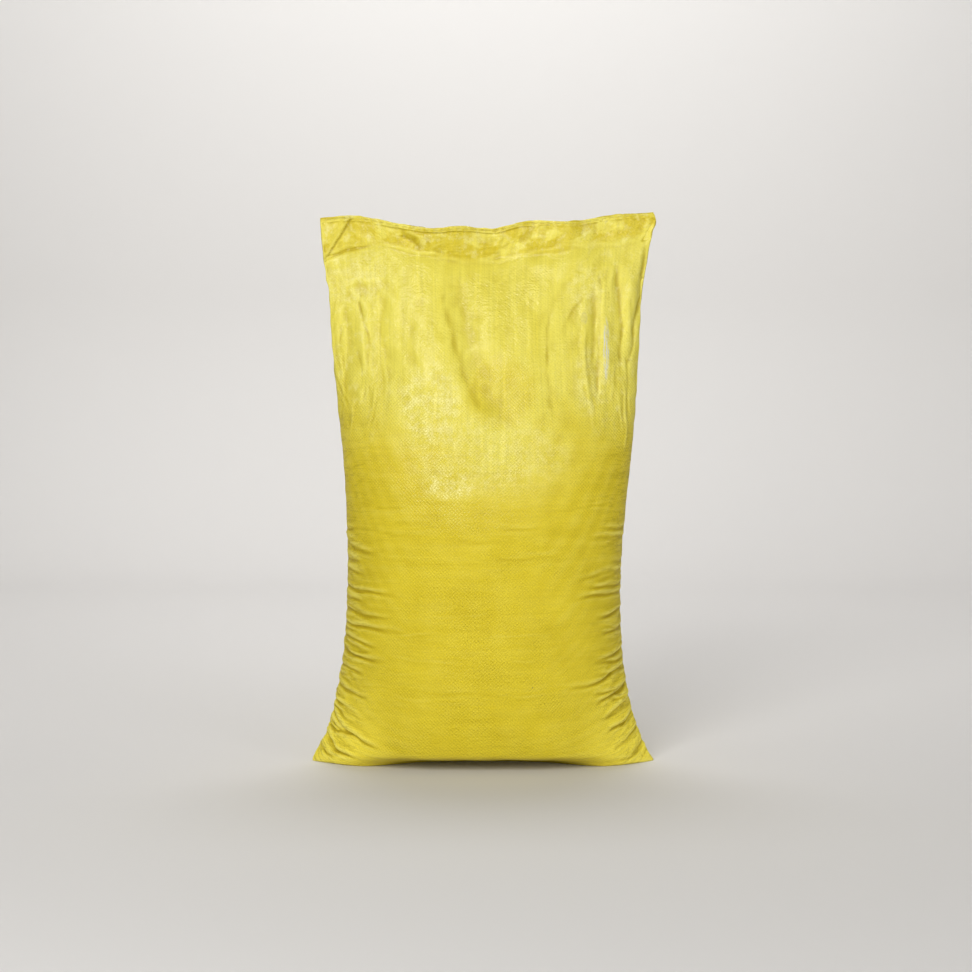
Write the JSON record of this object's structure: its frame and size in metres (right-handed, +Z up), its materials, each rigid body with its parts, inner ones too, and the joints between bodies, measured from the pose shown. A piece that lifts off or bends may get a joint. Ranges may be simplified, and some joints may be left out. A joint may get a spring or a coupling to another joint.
{
  "type": "cement bag",
  "caption": "Filled upright pillow sack of glossy woven polypropylene, sewn flat across the slack top, with pointed bottom corners and gathers up its sides.",
  "frame": {"origin": "middle of the sack's overall box, on the floor it stands on", "axes": "+Z up, -Y the front of the sack as pictured, +X right as seen from the front"},
  "size_m": [0.5, 0.229, 0.8017],
  "materials": {
    "sack": "woven polypropylene tape with a glossy laminated face, lemon yellow",
    "top_thread": "matte spun polyester sewing thread",
    "bottom_thread": "matte spun polyester sewing thread"
  },
  "bodies": {
    "root": {"sack": "sack", "top_thread": "top_thread", "bottom_thread": "bottom_thread"}
  },
  "joints": []
}
